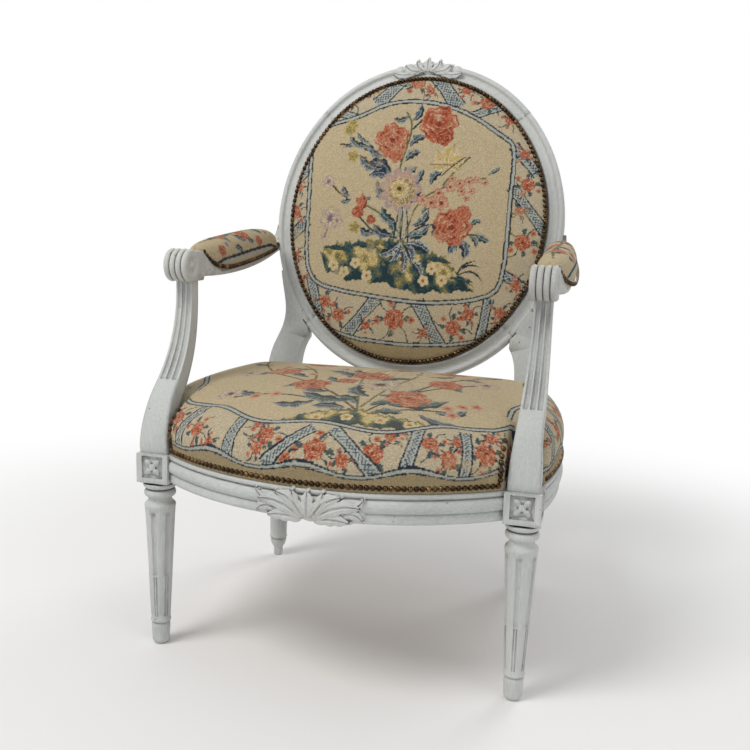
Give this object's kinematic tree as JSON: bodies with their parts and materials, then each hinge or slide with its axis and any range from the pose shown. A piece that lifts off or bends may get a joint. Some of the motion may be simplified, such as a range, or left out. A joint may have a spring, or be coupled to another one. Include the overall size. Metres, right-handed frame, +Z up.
{
  "type": "fauteuil",
  "caption": "Open armchair with an oval medallion back, fluted tapering legs, scrolled arms and a crowned needlepoint seat, for sitting upright.",
  "frame": {"origin": "on the floor, under the middle of the overall width and depth", "axes": "+X to the right seen from the front, +Y to the back, +Z up"},
  "size_m": [0.6174, 0.667, 0.9385],
  "materials": {
    "painted_beech": "old grey-white paint, rubbed and chipped to the wood at the edges, dark in the grooves",
    "bare_beech": "dry planed beech",
    "needlepoint": "wool needlepoint, matt, floral on an ecru ground",
    "plain_linen": "plain ecru linen, matt",
    "horsehair": "curled hair stuffing",
    "jute_webbing": "coarse woven jute",
    "hessian": "open plain weave",
    "antique_brass": "dark antique brass, worn bright on the domes"
  },
  "bodies": {
    "root": {"arm_dowels": "bare_beech", "arm_left": "painted_beech", "arm_pad_cover_left": "needlepoint", "arm_pad_cover_right": "needlepoint", "arm_pad_nails_left": "antique_brass", "arm_pad_nails_right": "antique_brass", "arm_pad_stuffing_left": "horsehair", "arm_pad_stuffing_right": "horsehair", "arm_right": "painted_beech", "arm_support_left": "painted_beech", "arm_support_right": "painted_beech", "back_cover": "needlepoint", "back_crest_rail": "painted_beech", "back_dowels": "bare_beech", "back_hessian": "hessian", "back_lower_rail": "painted_beech", "back_nails": "antique_brass", "back_outside_cover": "plain_linen", "back_outside_nails": "antique_brass", "back_stuffing": "horsehair", "back_webbing": "jute_webbing", "front_corner_blocks": "bare_beech", "front_leg_left": "painted_beech", "front_leg_right": "painted_beech", "front_rail": "painted_beech", "rear_corner_blocks": "bare_beech", "rear_post_left": "painted_beech", "rear_post_right": "painted_beech", "rear_rail": "painted_beech", "seat_cover": "needlepoint", "seat_hessian": "hessian", "seat_nails": "antique_brass", "seat_stuffing": "horsehair", "seat_webbing_crosswise": "jute_webbing", "seat_webbing_lengthwise": "jute_webbing", "side_rail_left": "painted_beech", "side_rail_right": "painted_beech", "tenon_pegs": "bare_beech"}
  },
  "joints": []
}
